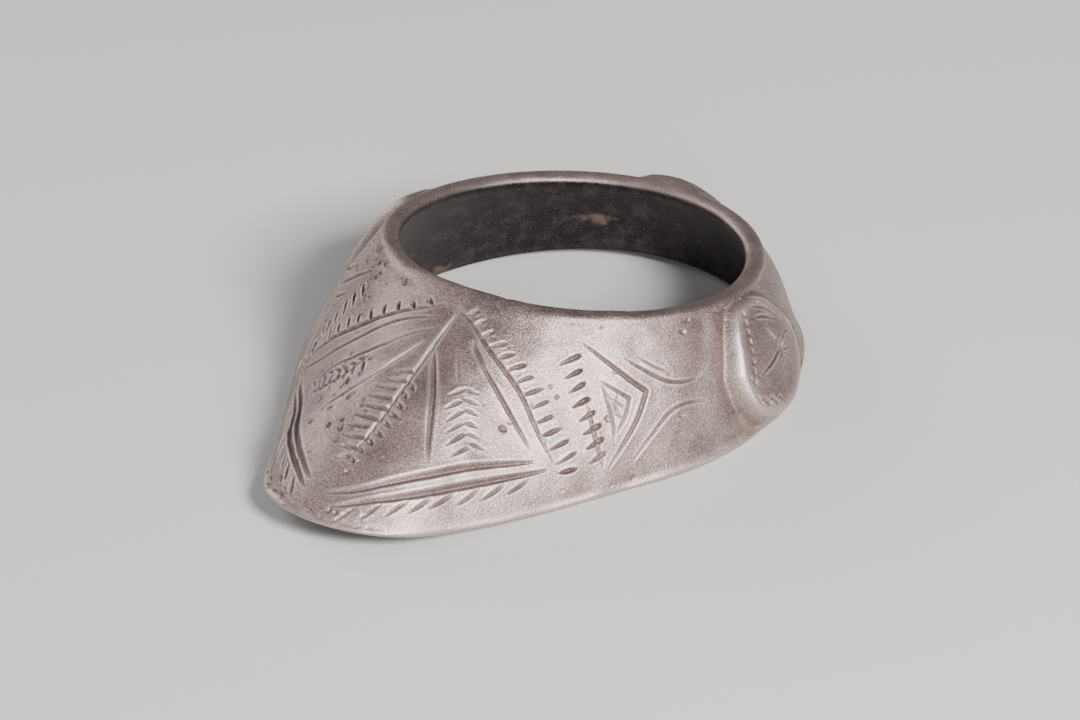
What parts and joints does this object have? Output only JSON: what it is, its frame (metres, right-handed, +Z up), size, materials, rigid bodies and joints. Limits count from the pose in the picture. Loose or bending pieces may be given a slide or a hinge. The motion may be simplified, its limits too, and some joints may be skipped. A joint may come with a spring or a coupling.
{
  "type": "archer's thumb ring",
  "caption": "Cast silver archer's thumb ring: flaring band with a long pointed tongue, oval thumb hole, raised leaf bosses and engraved fern, ladder and wheat-ear strokes.",
  "frame": {"origin": "bottom centre of the ring's bounding box, on the surface that the ring lies on", "axes": "+Z up through the thumb hole towards the rim, -Y the way the tongue points, +X the right of the band seen from behind with the tongue pointing away"},
  "size_m": [0.0322, 0.0436, 0.0106],
  "materials": {
    "toned_silver": "satin, toned grey-brown, worn bright on edges"
  },
  "bodies": {
    "root": {"thumb_ring": "toned_silver"}
  },
  "joints": []
}
